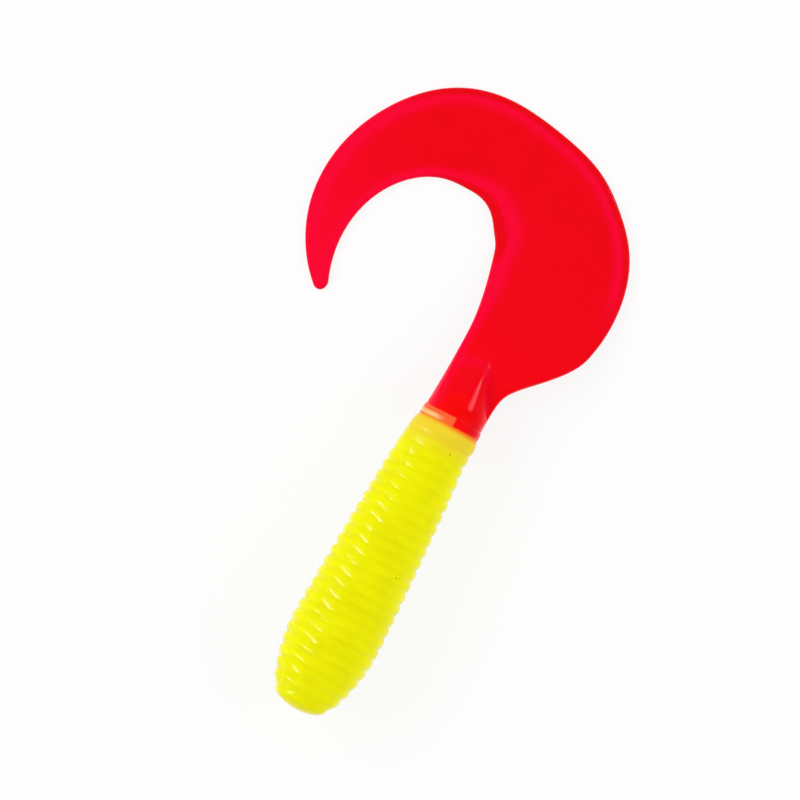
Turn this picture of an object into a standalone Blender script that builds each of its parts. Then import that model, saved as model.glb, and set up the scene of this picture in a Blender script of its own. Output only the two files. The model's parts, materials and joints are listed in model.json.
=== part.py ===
"""Curl-tail soft plastic worm: a ribbed yellow body with a flat red tail moulded onto its end.

The worm lies on a table at z = 0. Its body runs along X with the nose at -X, and its tail
curls flat in the XY plane. Sizes are in millimetres and angles in degrees.
"""

import math

import bmesh
import bpy
from mathutils import Vector

MM = 0.001

# Ribbed body, turned about its own axis, with the seam at the tail end
BODY_LENGTH = 38.5
BODY_DIAMETER = 11.2
FATTEST_FROM_SEAM = 28.5
SEAM_DIAMETER = 8.15
COLLAR_DIAMETER = 7.5
FIRST_RIB_DIAMETER = 8.4
REAR_TAPER_POWER = 1.25
NOSE_DIAMETER = 6.6
NOSE_FLAT_DIAMETER = 2.4
NOSE_ROUND_LENGTH = 1.4
NOSE_LENGTH = 2.0
COLLAR_LENGTH = 0.9
RIB_COUNT = 24
RIB_DEPTH = 0.34
RIB_CROWN_POWER = 0.7
LIE_ANGLE = 2.8

# Dished joint between the two colours
CUP_DIAMETER = 5.2
CUP_DEPTH = 1.6
CUP_CLEARANCE = 0.3
SEAM_GAP = 0.02

# Tail root: a short barrel, then a cone that thins into the blade and leans to the heel
NECK_INNER = 3.42
NECK_OUTER = 3.93
NECK_INNER_FAR = 2.99
CONE_START = 2.1
CONE_LENGTH = 8.6
CONE_LEAN = 3.6
CONE_FILLET = 0.4

# Heel, where the outer edge swings out from the neck
HEEL_START = 5.9
HEEL_ANGLE = 46.5
HEEL_FILLET = 1.42
HEEL_ROUND = 1.7

# Curl, drawn about its own centre; angles run from +X towards +Y
CURL_CENTRE_X = 19.5
CURL_CENTRE_Y = 7.7
CURL_RADIUS = 19.6
EYE_RADIUS = 3.22
EYE_JOIN_ANGLE = -75.0
FULL_WIDTH_ANGLE = -75.6
TIP_ANGLE = 134.0
TIP_WIDTH = 1.5
TIP_INSET = 0.8
TIP_INSET_ANGLE = 40.0
TIP_ROUND_LENGTH = 0.75

# Flat spots of the curl's two edges: the angle, spread and depth of each
OUTER_FLATS = ((-11.0, 33.0, 2.0), (-49.0, 14.3, 0.42), (56.5, 25.0, 0.31))
INNER_FLATS = ((-25.6, 24.0, 0.38), (31.0, 15.7, 0.32))

# Blade section and the way it sinks from the seam to the table
BLADE_THICKNESS = 1.2
TIP_THICKNESS = 0.9
RIM_WIDTH = 0.6
DROOP_START = 4.0
DROOP_LENGTH = 20.0

# Flex lines, each a slit just wide enough for the blade to fold by the flex angle
FLEX_ANGLE = 45.0
FLEX_CLEARANCE = 0.1
NECK_FLEX_FROM_CONE = 1.0
FAN_FROM_NECK_FLEX = 1.0
CURL_FLEX_ANGLE = -25.0
TIP_FLEX_ANGLE = 84.0

# Facets
BODY_SEGMENTS = 28
RIB_STEPS = 4
ROUND_STEPS = 4
RIM_STEPS = 3
FLAT_STEPS = 10
ROOT_STATIONS = 10
FAN_STATIONS = 8
CURL_STATION_ANGLE = 6.0
TIP_ROUND_STATIONS = 5
SMOOTH_ANGLE = 40.0

YELLOW = (0.83, 0.83, 0.004, 1.0)
RED = (0.87, 0.003, 0.01, 1.0)
SOFT_ROUGHNESS = 0.3

NECK_FLEX = CONE_LENGTH + NECK_FLEX_FROM_CONE
FAN_START = NECK_FLEX + FAN_FROM_NECK_FLEX
FLEX_SLIT = BLADE_THICKNESS * math.tan(math.radians(FLEX_ANGLE) / 2) + FLEX_CLEARANCE
RIB_PITCH = (BODY_LENGTH - NOSE_LENGTH - COLLAR_LENGTH) / RIB_COUNT
CURL_CENTRE = Vector((CURL_CENTRE_X, CURL_CENTRE_Y))


def smooth_min(a, b, blend):
    """The smaller value, rounded off where the two lie within the blend of each other."""
    overlap = max(blend - abs(a - b), 0.0)
    return min(a, b) - overlap * overlap / (4 * blend) if blend > 0 else min(a, b)


def smooth_max(a, b, blend):
    return -smooth_min(-a, -b, blend)


def crest_radius(x):
    """Radius over the rib crests at x, which is negative in front of the seam."""
    largest = BODY_DIAMETER / 2
    from_fattest = x + FATTEST_FROM_SEAM
    if from_fattest < 0:
        first_crest = NOSE_LENGTH + RIB_PITCH / 2 - BODY_LENGTH
        share = from_fattest / (first_crest + FATTEST_FROM_SEAM)
        return largest - (largest - FIRST_RIB_DIAMETER / 2) * share**2
    share = from_fattest / FATTEST_FROM_SEAM
    return largest - (largest - SEAM_DIAMETER / 2) * share**REAR_TAPER_POWER


def nose_profile():
    flat = NOSE_FLAT_DIAMETER / 2
    rise = NOSE_DIAMETER / 2 - flat
    points = [(-BODY_LENGTH, 0.0)]
    for step in range(ROUND_STEPS + 1):
        turn = math.pi / 2 * step / ROUND_STEPS
        back = NOSE_ROUND_LENGTH * (1 - math.cos(turn))
        points.append((back - BODY_LENGTH, flat + rise * math.sin(turn)))
    return points


def rib_profile():
    points = []
    for step in range(RIB_COUNT * RIB_STEPS + 1):
        x = NOSE_LENGTH - BODY_LENGTH + RIB_PITCH * step / RIB_STEPS
        phase = (step % RIB_STEPS) / RIB_STEPS
        crown = math.sin(math.pi * phase) ** RIB_CROWN_POWER
        points.append((x, crest_radius(x) - RIB_DEPTH * (1 - crown)))
    return points


def dome_profile(radius, depth):
    """A quarter ellipse from the rim at x = 0 to its deepest point on the axis."""
    turns = [math.pi / 2 * step / ROUND_STEPS for step in range(ROUND_STEPS + 1)]
    return [(-depth * math.sin(turn), radius * math.cos(turn)) for turn in turns]


def seam_height():
    """Height of the body's axis at the seam when its ribs lie on the table."""
    lie = math.radians(LIE_ANGLE)
    return max(r * math.cos(lie) + x * math.sin(lie) for x, r in rib_profile())


def inner_neck(x):
    return NECK_INNER_FAR + (NECK_INNER - NECK_INNER_FAR) * (1 - x / FAN_START) ** 2


def heel_ramp(x):
    past = x - HEEL_START
    rise = (past + math.hypot(past, HEEL_FILLET)) / 2
    return NECK_OUTER + rise * math.tan(math.radians(HEEL_ANGLE))


def circle_reach(x):
    """How far the curl's outer circle reaches to the -Y side at x."""
    half_chord = CURL_RADIUS**2 - (x - CURL_CENTRE_X) ** 2
    return math.sqrt(max(half_chord, 0.0)) - CURL_CENTRE_Y


def outer_neck(x):
    if x < HEEL_START:
        return -heel_ramp(x)
    return -max(NECK_OUTER, smooth_min(heel_ramp(x), circle_reach(x), HEEL_ROUND))


def heel_end():
    """Where the heel's rounding has run out onto the curl's circle, found by halving."""
    low = max(HEEL_START, FAN_START)
    high = CURL_CENTRE_X
    for _ in range(40):
        middle = (low + high) / 2
        if heel_ramp(middle) - circle_reach(middle) > HEEL_ROUND:
            high = middle
        else:
            low = middle
    return high


def about_curl(angle, radius):
    turn = math.radians(angle)
    return CURL_CENTRE + radius * Vector((math.cos(turn), math.sin(turn)))


def flat_spots(angle, rows):
    return sum(depth * math.exp(-(((angle - at) / spread) ** 2)) for at, spread, depth in rows)


def outer_radius(angle):
    near_tip = max(angle - TIP_ANGLE + TIP_INSET_ANGLE, 0.0) / TIP_INSET_ANGLE
    return CURL_RADIUS - flat_spots(angle, OUTER_FLATS) - TIP_INSET * near_tip**2


def inner_radius(angle):
    """The eye's circle, opening into a spiral that narrows the blade towards its tip."""
    share = (TIP_ANGLE - angle) / (TIP_ANGLE - FULL_WIDTH_ANGLE)
    quarter = math.pi / 2 * min(max(share, 0.0), 1.0)
    tip_radius = CURL_RADIUS - TIP_INSET - TIP_WIDTH
    spiral = tip_radius - (tip_radius - EYE_RADIUS) * math.sin(quarter)
    return spiral - flat_spots(angle, INNER_FLATS)


def outer_edge(angle):
    return about_curl(angle, outer_radius(angle))


def inner_edge(angle):
    return about_curl(angle, inner_radius(angle))


def fan_outer(share):
    """Outer edge from the neck round the heel to where the curl begins."""
    end_x = heel_end()
    end = Vector((end_x, outer_neck(end_x))) - CURL_CENTRE
    end_angle = math.degrees(math.atan2(end.y, end.x))
    heel_run = end_x - FAN_START
    arc_run = end.length * math.radians(EYE_JOIN_ANGLE - end_angle)
    straight = heel_run / (heel_run + arc_run)
    if share < straight:
        x = FAN_START + heel_run * share / straight
        return Vector((x, outer_neck(x)))
    past = (share - straight) / (1 - straight)
    return outer_edge(end_angle + (EYE_JOIN_ANGLE - end_angle) * past)


def fan_inner(share):
    """Inner edge from the neck to the eye, as a curve tangent to both."""
    start = Vector((FAN_START, inner_neck(FAN_START)))
    end = inner_edge(EYE_JOIN_ANGLE)
    reach = (end - start).length
    turn = math.radians(EYE_JOIN_ANGLE)
    leave = Vector((reach, 0.0))
    arrive = Vector((-math.sin(turn), math.cos(turn))) * reach
    s = share
    return (
        start * (2 * s**3 - 3 * s**2 + 1)
        + leave * (s**3 - 2 * s**2 + s)
        + end * (3 * s**2 - 2 * s**3)
        + arrive * (s**3 - s**2)
    )


def droop(x):
    """Height and slope of the tail's middle: in line with the body, then sinking to the table."""
    lie_slope = -math.tan(math.radians(LIE_ANGLE))
    if x < DROOP_START:
        return seam_height() + lie_slope * x, lie_slope
    run = min((x - DROOP_START) / DROOP_LENGTH, 1.0)
    slope = lie_slope * DROOP_LENGTH
    high = seam_height() + lie_slope * DROOP_START
    fall = BLADE_THICKNESS / 2 - high
    height = high + fall * (3 * run**2 - 2 * run**3) + slope * (run**3 - 2 * run**2 + run)
    rate = fall * (6 * run - 6 * run**2) + slope * (3 * run**2 - 4 * run + 1)
    return height, rate / DROOP_LENGTH


def blade_half_height(from_inner, width, thickness, cone):
    """Half the height of a section: a blade with round edges, and the cone that stands out of it."""
    rim = min(RIM_WIDTH, width / 2)
    from_edge = min(from_inner, width - from_inner)
    inside = min(max(from_edge, 0.0) / rim, 1.0)
    blade = thickness / 2 * math.sqrt(1 - (1 - inside) ** 2)
    if not cone:
        return blade
    place, radius = cone
    rise = math.sqrt(max(radius**2 - (from_inner - place) ** 2, 0.0))
    return smooth_max(blade, rise, CONE_FILLET * inside)


def even_places(width):
    """Places between the rims of a plain section."""
    rim = min(RIM_WIDTH, width / 2)
    return [rim + (width - 2 * rim) * k / FLAT_STEPS for k in range(1, FLAT_STEPS)]


def cone_places(width, cone):
    """As many places, of which all but the first and last run along with the cone's sides."""
    place, radius = cone
    half = math.sqrt(max(radius**2 - (BLADE_THICKNESS / 2) ** 2, CONE_FILLET**2))
    low = max(place - half, RIM_WIDTH * 2)
    high = min(place + half, width - RIM_WIDTH * 2)
    steps = FLAT_STEPS - 4
    turns = [math.pi * k / steps for k in range(steps + 1)]
    along = [(low + high) / 2 - (high - low) / 2 * math.cos(turn) for turn in turns]
    return [(RIM_WIDTH + low) / 2] + along + [(high + width - RIM_WIDTH) / 2]


def section(inner, outer, thickness, cone=None, drooping=True):
    """The ring of points round the tail between one inner and one outer edge point."""
    width = (outer - inner).length
    rim = min(RIM_WIDTH, width / 2)
    edge = [rim * (1 - math.cos(math.pi / 2 * k / RIM_STEPS)) for k in range(RIM_STEPS + 1)]
    flat = cone_places(width, cone) if cone else even_places(width)
    upper = []
    lower = []
    for place in edge + flat + [width - d for d in reversed(edge)]:
        plan = inner.lerp(outer, place / width)
        height, slope = droop(plan.x) if drooping else (BLADE_THICKNESS / 2, 0.0)
        middle = Vector((plan.x, plan.y, height - (BLADE_THICKNESS - thickness) / 2))
        normal = Vector((-slope, 0.0, 1.0)).normalized()
        half = blade_half_height(place, width, thickness, cone)
        upper.append(middle + normal * half)
        lower.append(middle - normal * half)
    return upper + lower[-2:0:-1]


def cone_at(x):
    """Distance of the cone's axis from the inner edge, and the cone's radius, at x."""
    start_radius = (NECK_INNER + NECK_OUTER) / 2
    axis = (NECK_INNER - NECK_OUTER) / 2 - x * math.tan(math.radians(CONE_LEAN))
    run = max(x - CONE_START, 0.0) / (CONE_LENGTH - CONE_START)
    radius = start_radius - (start_radius - BLADE_THICKNESS / 2) * run
    from_inner = inner_neck(x) - axis
    from_outer = axis - outer_neck(x)
    return from_inner, max(min(radius, from_inner, from_outer), 0.0)


def neck_section(x, cone=None):
    inner = Vector((x, inner_neck(x)))
    outer = Vector((x, outer_neck(x)))
    return section(inner, outer, BLADE_THICKNESS, cone)


def curl_thickness(angle):
    share = (angle - EYE_JOIN_ANGLE) / (TIP_ANGLE - EYE_JOIN_ANGLE)
    return BLADE_THICKNESS + (TIP_THICKNESS - BLADE_THICKNESS) * share


def curl_section(inner_angle, outer_angle):
    thickness = curl_thickness(outer_angle)
    drooping = outer_angle < CURL_FLEX_ANGLE
    return section(inner_edge(inner_angle), outer_edge(outer_angle), thickness, drooping=drooping)


def beside_flex(angle, side):
    """Inner and outer angles of the slit's face that lies on one side of a radial flex line."""
    half = FLEX_SLIT / 2 * side
    inner = angle + math.degrees(math.asin(half / inner_radius(angle)))
    outer = angle + math.degrees(math.asin(half / outer_radius(angle)))
    return inner, outer


def curl_sections(start, end):
    """Sections between two pairs of inner and outer angles, evenly spaced."""
    count = math.ceil((end[1] - start[1]) / CURL_STATION_ANGLE)
    shares = [step / count for step in range(count + 1)]
    return [curl_section(*(a + (b - a) * share for a, b in zip(start, end))) for share in shares]


def seam_plug():
    """Rings of the domed end that the tail seats in the body's cup, from its point outwards."""
    lie = math.radians(LIE_ANGLE)
    along = Vector((math.cos(lie), 0.0, -math.sin(lie)))
    up = Vector((math.sin(lie), 0.0, math.cos(lie)))
    centre = Vector((0.0, 0.0, seam_height())) + along * SEAM_GAP
    face = neck_section(SEAM_GAP, cone_at(SEAM_GAP))
    offsets = [point - centre for point in face]
    turns = [math.atan2(offset.dot(up), offset.y) for offset in offsets]
    dome = dome_profile(CUP_DIAMETER / 2 - CUP_CLEARANCE, CUP_DEPTH - CUP_CLEARANCE)
    side = Vector((0.0, 1.0, 0.0))
    rings = []
    for back, radius in reversed(dome[:-1]):
        base = centre + along * back
        rings.append([base + radius * (side * math.cos(t) + up * math.sin(t)) for t in turns])
    return rings


def root_rings():
    end = NECK_FLEX - FLEX_SLIT / 2
    cone = [CONE_START + (end - CONE_START) * k / ROOT_STATIONS for k in range(ROOT_STATIONS + 1)]
    return seam_plug() + [neck_section(x, cone_at(x)) for x in [SEAM_GAP] + cone]


def paddle_rings():
    rings = [neck_section(NECK_FLEX + FLEX_SLIT / 2)]
    for step in range(FAN_STATIONS + 1):
        share = step / FAN_STATIONS
        rings.append(section(fan_inner(share), fan_outer(share), BLADE_THICKNESS))
    start = (EYE_JOIN_ANGLE, EYE_JOIN_ANGLE)
    return rings + curl_sections(start, beside_flex(CURL_FLEX_ANGLE, -1))[1:]


def curl_rings():
    return curl_sections(beside_flex(CURL_FLEX_ANGLE, 1), beside_flex(TIP_FLEX_ANGLE, -1))


def tip_rings():
    """The last of the curl, its end drawn in to a round point."""
    round_angle = math.degrees(TIP_ROUND_LENGTH / outer_radius(TIP_ANGLE))
    round_start = TIP_ANGLE - round_angle
    rings = curl_sections(beside_flex(TIP_FLEX_ANGLE, 1), (round_start, round_start))
    for step in range(1, TIP_ROUND_STATIONS + 1):
        turn = math.pi / 2 * step / (TIP_ROUND_STATIONS + 1)
        angle = round_start + round_angle * math.sin(turn)
        ring = curl_section(angle, angle)
        middle = sum(ring, Vector()) / len(ring)
        rings.append([middle.lerp(point, math.cos(turn)) for point in ring])
    return rings


def mesh_of(name, bm):
    bmesh.ops.recalc_face_normals(bm, faces=bm.faces)
    bmesh.ops.scale(bm, vec=(MM, MM, MM), verts=bm.verts)
    mesh = bpy.data.meshes.new(name)
    bm.to_mesh(mesh)
    bm.free()
    mesh.shade_smooth()
    mesh.set_sharp_from_angle(angle=math.radians(SMOOTH_ANGLE))
    return mesh


def loft(name, rings, pivot):
    """A closed skin over the rings, with its origin moved to the pivot."""
    bm = bmesh.new()
    loops = [[bm.verts.new(point - pivot) for point in ring] for ring in rings]
    for near, far in zip(loops, loops[1:]):
        for k in range(len(near)):
            after = (k + 1) % len(near)
            bm.faces.new((near[k], near[after], far[after], far[k]))
    bm.faces.new(loops[0])
    bm.faces.new(loops[-1])
    return mesh_of(name, bm)


def turned_body(name):
    """The ribbed body spun about X, from the nose back to the cup in its tail end."""
    collar = [(0.0, COLLAR_DIAMETER / 2)]
    profile = nose_profile() + rib_profile() + collar + dome_profile(CUP_DIAMETER / 2, CUP_DEPTH)
    bm = bmesh.new()
    verts = [bm.verts.new((x, 0.0, r)) for x, r in profile]
    edges = [bm.edges.new(pair) for pair in zip(verts, verts[1:])]
    bmesh.ops.spin(
        bm,
        geom=verts + edges,
        cent=(0, 0, 0),
        axis=(1, 0, 0),
        angle=2 * math.pi,
        steps=BODY_SEGMENTS,
        use_merge=True,
    )
    bmesh.ops.remove_doubles(bm, verts=bm.verts, dist=SEAM_GAP / 10)
    return mesh_of(name, bm)


def soft_plastic(name, colour):
    material = bpy.data.materials.new(name)
    material.use_nodes = True
    shader = material.node_tree.nodes["Principled BSDF"]
    shader.inputs["Base Color"].default_value = colour
    shader.inputs["Roughness"].default_value = SOFT_ROUGHNESS
    shader.inputs["Metallic"].default_value = 0.0
    return material


def add_piece(mesh, colour, parent, place):
    """One named piece, its place given in the parent's own frame in millimetres."""
    piece = bpy.data.objects.new(mesh.name, mesh)
    mesh.materials.append(soft_plastic(mesh.name + "_plastic", colour))
    bpy.context.scene.collection.objects.link(piece)
    piece.parent = parent
    piece.location = place * MM
    return piece


def outline_centre():
    """Middle of the worm's plan, so that the origin stands under the middle of its box."""
    shares = [step / FAN_STATIONS for step in range(FAN_STATIONS + 1)]
    angles = range(round(EYE_JOIN_ANGLE), round(TIP_ANGLE))
    edge = [fan_outer(share) for share in shares] + [outer_edge(angle) for angle in angles]
    across = [point.y for point in edge]
    lie = math.radians(LIE_ANGLE)
    nose = min(x * math.cos(lie) - r * math.sin(lie) for x, r in nose_profile())
    tail = max(point.x for point in edge)
    return Vector(((nose + tail) / 2, (min(across) + max(across)) / 2, 0.0))


def flex_point(angle):
    """Middle of a radial flex line, halfway through the blade."""
    middle = (inner_edge(angle) + outer_edge(angle)) / 2
    return Vector((middle.x, middle.y, curl_thickness(angle) / 2))


def main():
    for old in list(bpy.data.objects):
        bpy.data.objects.remove(old)

    centre = outline_centre()
    origin = bpy.data.objects.new("worm", None)
    bpy.context.scene.collection.objects.link(origin)
    origin.location = -centre * MM

    seam = Vector((0.0, 0.0, seam_height()))
    neck_flex = Vector((NECK_FLEX, 0.0, droop(NECK_FLEX)[0]))
    curl_flex = flex_point(CURL_FLEX_ANGLE)
    tip_flex = flex_point(TIP_FLEX_ANGLE)

    body = add_piece(turned_body("ribbed_body"), YELLOW, origin, seam)
    body.rotation_euler = (0.0, math.radians(LIE_ANGLE), 0.0)
    add_piece(loft("tail_root", root_rings(), seam), RED, origin, seam)
    paddle = add_piece(loft("tail_paddle", paddle_rings(), neck_flex), RED, origin, neck_flex)
    curl = add_piece(loft("tail_curl", curl_rings(), curl_flex), RED, paddle, curl_flex - neck_flex)
    add_piece(loft("tail_tip", tip_rings(), tip_flex), RED, curl, tip_flex - curl_flex)

    for label, point in (("seam", seam), ("neck", neck_flex), ("curl", curl_flex), ("tip", tip_flex)):
        print(f"{label} at", tuple(round(c, 3) for c in point - centre), "mm")


main()
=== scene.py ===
# %% [markdown]
# # A soft plastic worm on a white table
#
# This lesson dresses a curl-tail worm: a ribbed yellow body with a red tail fused to its end.
# Both are poured from soft plastisol, so nothing on the worm is sharp, straight or quite even.
# A imported model gives the frame: its bodies and its bending joints. Each piece made here is
# in metres; the body rides on its own frame body, and the tail is parted where the real tail bends.

# %% Load the frame
import json
import math
import random

import bpy
from mathutils import Matrix, Vector


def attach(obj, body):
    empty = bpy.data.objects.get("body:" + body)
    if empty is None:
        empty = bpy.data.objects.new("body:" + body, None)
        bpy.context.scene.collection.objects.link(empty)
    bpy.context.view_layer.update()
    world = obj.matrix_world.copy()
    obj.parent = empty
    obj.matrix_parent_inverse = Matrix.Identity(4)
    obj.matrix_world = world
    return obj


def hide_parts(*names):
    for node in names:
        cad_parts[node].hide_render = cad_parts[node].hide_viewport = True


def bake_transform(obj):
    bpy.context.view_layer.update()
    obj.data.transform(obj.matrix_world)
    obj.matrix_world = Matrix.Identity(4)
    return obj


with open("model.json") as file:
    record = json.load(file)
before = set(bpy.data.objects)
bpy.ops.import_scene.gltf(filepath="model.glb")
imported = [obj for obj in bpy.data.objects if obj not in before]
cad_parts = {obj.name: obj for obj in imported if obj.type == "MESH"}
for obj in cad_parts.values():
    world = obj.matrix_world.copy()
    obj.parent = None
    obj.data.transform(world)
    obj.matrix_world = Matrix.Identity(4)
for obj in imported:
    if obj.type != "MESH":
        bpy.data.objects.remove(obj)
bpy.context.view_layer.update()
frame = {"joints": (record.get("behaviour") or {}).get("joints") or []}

# %% [markdown]
# ## The camera
#
# The worm is seen from straight above, with its body leaning to the right up the picture.
# A short lens would swell the body, which stands higher than the tail. A long lens from a
# metre away keeps both at one scale, so sizes can be read straight off the picture.

# %% Camera
MM = 0.001
PICTURE_WIDTH = 95.37 * MM
PICTURE_TURN = math.radians(-61.964)
PICTURE_CENTRE = Vector((0.19 * MM, -1.41 * MM, 0.0))
CAMERA_HEIGHT = 1.0

camera = bpy.data.objects.new("camera", bpy.data.cameras.new("camera"))
camera.data.sensor_width = 36.0
camera.data.lens = camera.data.sensor_width * CAMERA_HEIGHT / PICTURE_WIDTH
camera.data.clip_end = 10.0
camera.location = PICTURE_CENTRE + Vector((0.0, 0.0, CAMERA_HEIGHT))
camera.rotation_euler = (0.0, 0.0, PICTURE_TURN)
bpy.context.scene.collection.objects.link(camera)
bpy.context.scene.camera = camera

picture_right = Vector((math.cos(PICTURE_TURN), math.sin(PICTURE_TURN), 0.0))
picture_up = Vector((-math.sin(PICTURE_TURN), math.cos(PICTURE_TURN), 0.0))
print(f"lens {camera.data.lens:.0f} mm, picture {PICTURE_WIDTH / MM:.1f} mm wide")

# %% [markdown]
# ## Small helpers for nodes and meshes
#
# Materials here are node trees, and meshes are rings of points joined into skins. A few short
# helpers save repeating Blender's own calls: one adds a node and sets its inputs, one joins
# rings into a skin, and one stores a vector on each point of a mesh, such as its distances
# from the blade's edges, for a material to read later.


# %% Node helper
def add_node(tree, kind, inputs=None, **settings):
    """A node with its inputs set: a socket given as an input is linked, a value is stored."""
    node = tree.nodes.new(kind)
    for name, value in settings.items():
        setattr(node, name, value)
    for name, value in (inputs or {}).items():
        if isinstance(value, bpy.types.NodeSocket):
            tree.links.new(value, node.inputs[name])
        else:
            node.inputs[name].default_value = value
    return node


# %% Mesh helpers
SHARP_ANGLE = math.radians(50.0)


def skin(name, rings, closed=True):
    """A mesh over rings of equal length; a ring of one point is a pole, and ends are closed."""
    points = [point for ring in rings for point in ring]
    starts = [0]
    for ring in rings:
        starts.append(starts[-1] + len(ring))
    faces = []
    for i in range(len(rings) - 1):
        near = range(starts[i], starts[i + 1])
        far = range(starts[i + 1], starts[i + 2])
        count = max(len(near), len(far))
        for k in range(count):
            after = (k + 1) % count
            if len(near) == 1:
                faces.append((near[0], far[after], far[k]))
            elif len(far) == 1:
                faces.append((near[k], near[after], far[0]))
            else:
                faces.append((near[k], near[after], far[after], far[k]))
    if closed and len(rings[0]) > 1:
        faces.append(tuple(reversed(range(starts[0], starts[1]))))
    if closed and len(rings[-1]) > 1:
        faces.append(tuple(range(starts[-2], starts[-1])))
    mesh = bpy.data.meshes.new(name)
    mesh.from_pydata([Vector(point) * MM for point in points], [], faces)
    mesh.shade_smooth()
    mesh.set_sharp_from_angle(angle=SHARP_ANGLE)
    piece = bpy.data.objects.new(name, mesh)
    bpy.context.scene.collection.objects.link(piece)
    return piece


def store(piece, name, vectors):
    """Keeps one vector for each point of the piece."""
    attribute = piece.data.attributes.new(name, "FLOAT_VECTOR", "POINT")
    attribute.data.foreach_set("vector", [c for vector in vectors for c in vector])


def smooth_step(value, low, high):
    """0 at low, 1 at high and beyond, and an even slope between; low may be the larger."""
    share = min(max((value - low) / (high - low), 0.0), 1.0)
    return share * share * (3 - 2 * share)


print("a smooth step is", round(smooth_step(0.25, 0.0, 1.0), 3), "high a quarter of the way up")

# %% [markdown]
# ## The table and the light
#
# The picture has a clean white ground, so the worm lies on a broad round sheet of white paper.
# The paper's own material stays plain white. Light Path brightens it for the camera and for
# reflections, so the ground is white while the lamps stay low, and part of the worm's own
# shadow is kept. The sky beyond the paper is white to the camera too, so no edge shows.

# %% Table
SHEET_RADIUS = 3.0
SHEET_SIDES = 96
SHEET_WHITE = 0.94
SHEET_GLOW = 0.85


def sheet_rings():
    turns = [2 * math.pi * k / SHEET_SIDES for k in range(SHEET_SIDES)]
    rim = [Vector((math.cos(turn), math.sin(turn), 0.0)) * SHEET_RADIUS / MM for turn in turns]
    return [[Vector((0.0, 0.0, 0.0))], rim]


def seen_rays(tree):
    """One for the rays that show the ground to the eye, straight on or in a reflection."""
    rays = add_node(tree, "ShaderNodeLightPath").outputs
    seen = rays["Is Camera Ray"]
    for kind in ("Is Glossy Ray", "Is Transmission Ray"):
        either = add_node(tree, "ShaderNodeMath", {0: seen, 1: rays[kind]}, operation="MAXIMUM")
        seen = either.outputs[0]
    return seen


def sheet_paper():
    material = bpy.data.materials.new("sheet_paper")
    material.use_nodes = True
    tree = material.node_tree
    tree.nodes.clear()
    share = add_node(
        tree, "ShaderNodeMath", {0: seen_rays(tree), 1: SHEET_GLOW}, operation="MULTIPLY"
    )
    white = (SHEET_WHITE, SHEET_WHITE, SHEET_WHITE, 1.0)
    paper = add_node(tree, "ShaderNodeBsdfDiffuse", {"Color": white})
    glow = add_node(tree, "ShaderNodeEmission", {"Color": (1.0, 1.0, 1.0, 1.0), "Strength": 1.0})
    parts = {0: share.outputs[0], 1: paper.outputs[0], 2: glow.outputs[0]}
    mix = add_node(tree, "ShaderNodeMixShader", parts)
    add_node(tree, "ShaderNodeOutputMaterial", {"Surface": mix.outputs[0]})
    return material


table_sheet = skin("table_sheet", sheet_rings(), closed=False)
table_sheet.data.materials.append(sheet_paper())
print("table", [round(c, 2) for c in table_sheet.dimensions], "m")

# %% [markdown]
# Two broad soft boxes light the worm. The one on the left is the stronger, and the one on the
# right only fills in the shade. Both give plain light and no reflection of themselves. Two
# narrow panels do the opposite, and only show in the gloss: the one low on the left draws the
# thin slanted stroke that every rib carries, and the one on the right the gleam along the
# tail's cone. The sky fills in from all round. To the eye, and in reflections, it is as white
# as the sheet.


# %% Lamps
def soft_box(name, low_end, high_end, width, glow):
    """A lamp between two ends, given by picture right, picture up and height, facing the worm."""
    ends = []
    for right, up, height in (low_end, high_end):
        ends.append(picture_right * right + picture_up * up + Vector((0.0, 0.0, height)))
    centre = (ends[0] + ends[1]) / 2
    upright = (ends[1] - ends[0]).normalized()
    back = (centre - upright * centre.dot(upright)).normalized()
    lamp = bpy.data.lights.new(name, "AREA")
    lamp.shape = "RECTANGLE"
    lamp.size, lamp.size_y = width, (ends[1] - ends[0]).length
    lamp.energy = glow * math.pi * lamp.size * lamp.size_y
    holder = bpy.data.objects.new(name, lamp)
    holder.location = PICTURE_CENTRE + centre
    holder.rotation_euler = Matrix((upright.cross(back), upright, back)).transposed().to_euler()
    holder.visible_camera = False
    bpy.context.scene.collection.objects.link(holder)
    return holder


left_key = soft_box("left_key", (-0.65, -0.18, 0.58), (-0.38, 0.72, 0.37), 0.4, 2.7)
right_fill = soft_box("right_fill", (0.85, -0.12, 0.16), (0.55, -0.08, 0.84), 0.8, 1.7)
rib_panel = soft_box("rib_panel", (-0.56, -0.40, 0.31), (-0.63, 0.33, 0.23), 0.115, 48.0)
gleam_panel = soft_box("gleam_panel", (0.63, 0.22, 0.245), (0.53, 0.36, 0.39), 0.2, 14.0)
for lamp in (left_key, right_fill):
    lamp.visible_glossy = False
for lamp in (rib_panel, gleam_panel):
    lamp.visible_diffuse = False
for lamp in (left_key, right_fill, rib_panel, gleam_panel):
    print(lamp.name, f"{lamp.data.energy:.1f} W")

# %% Sky
SKY_LEVEL = 0.52

world = bpy.data.worlds.new("studio")
world.use_nodes = True
sky = add_node(
    world.node_tree,
    "ShaderNodeMapRange",
    {"Value": seen_rays(world.node_tree), "To Min": SKY_LEVEL, "To Max": 1.0},
)
background = world.node_tree.nodes["Background"]
background.inputs["Color"].default_value = (1.0, 1.0, 1.0, 1.0)
world.node_tree.links.new(sky.outputs["Result"], background.inputs["Strength"])
bpy.context.scene.world = world
bpy.context.scene.view_settings.view_transform = "Standard"
print("sky lights at", SKY_LEVEL, "and looks white")

# %% [markdown]
# ## Where the worm lies
#
# Sizes of the worm are written in millimetres in its own plan: x runs from the seam between
# the colours towards the tail, y to the side that the tail curls to, and the nose is at minus
# x. The bending joint at the neck is a point of that plan, so the frame tells where the plan
# lies in the world. The body leans down towards its thinner end, which rests on the table.

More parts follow.
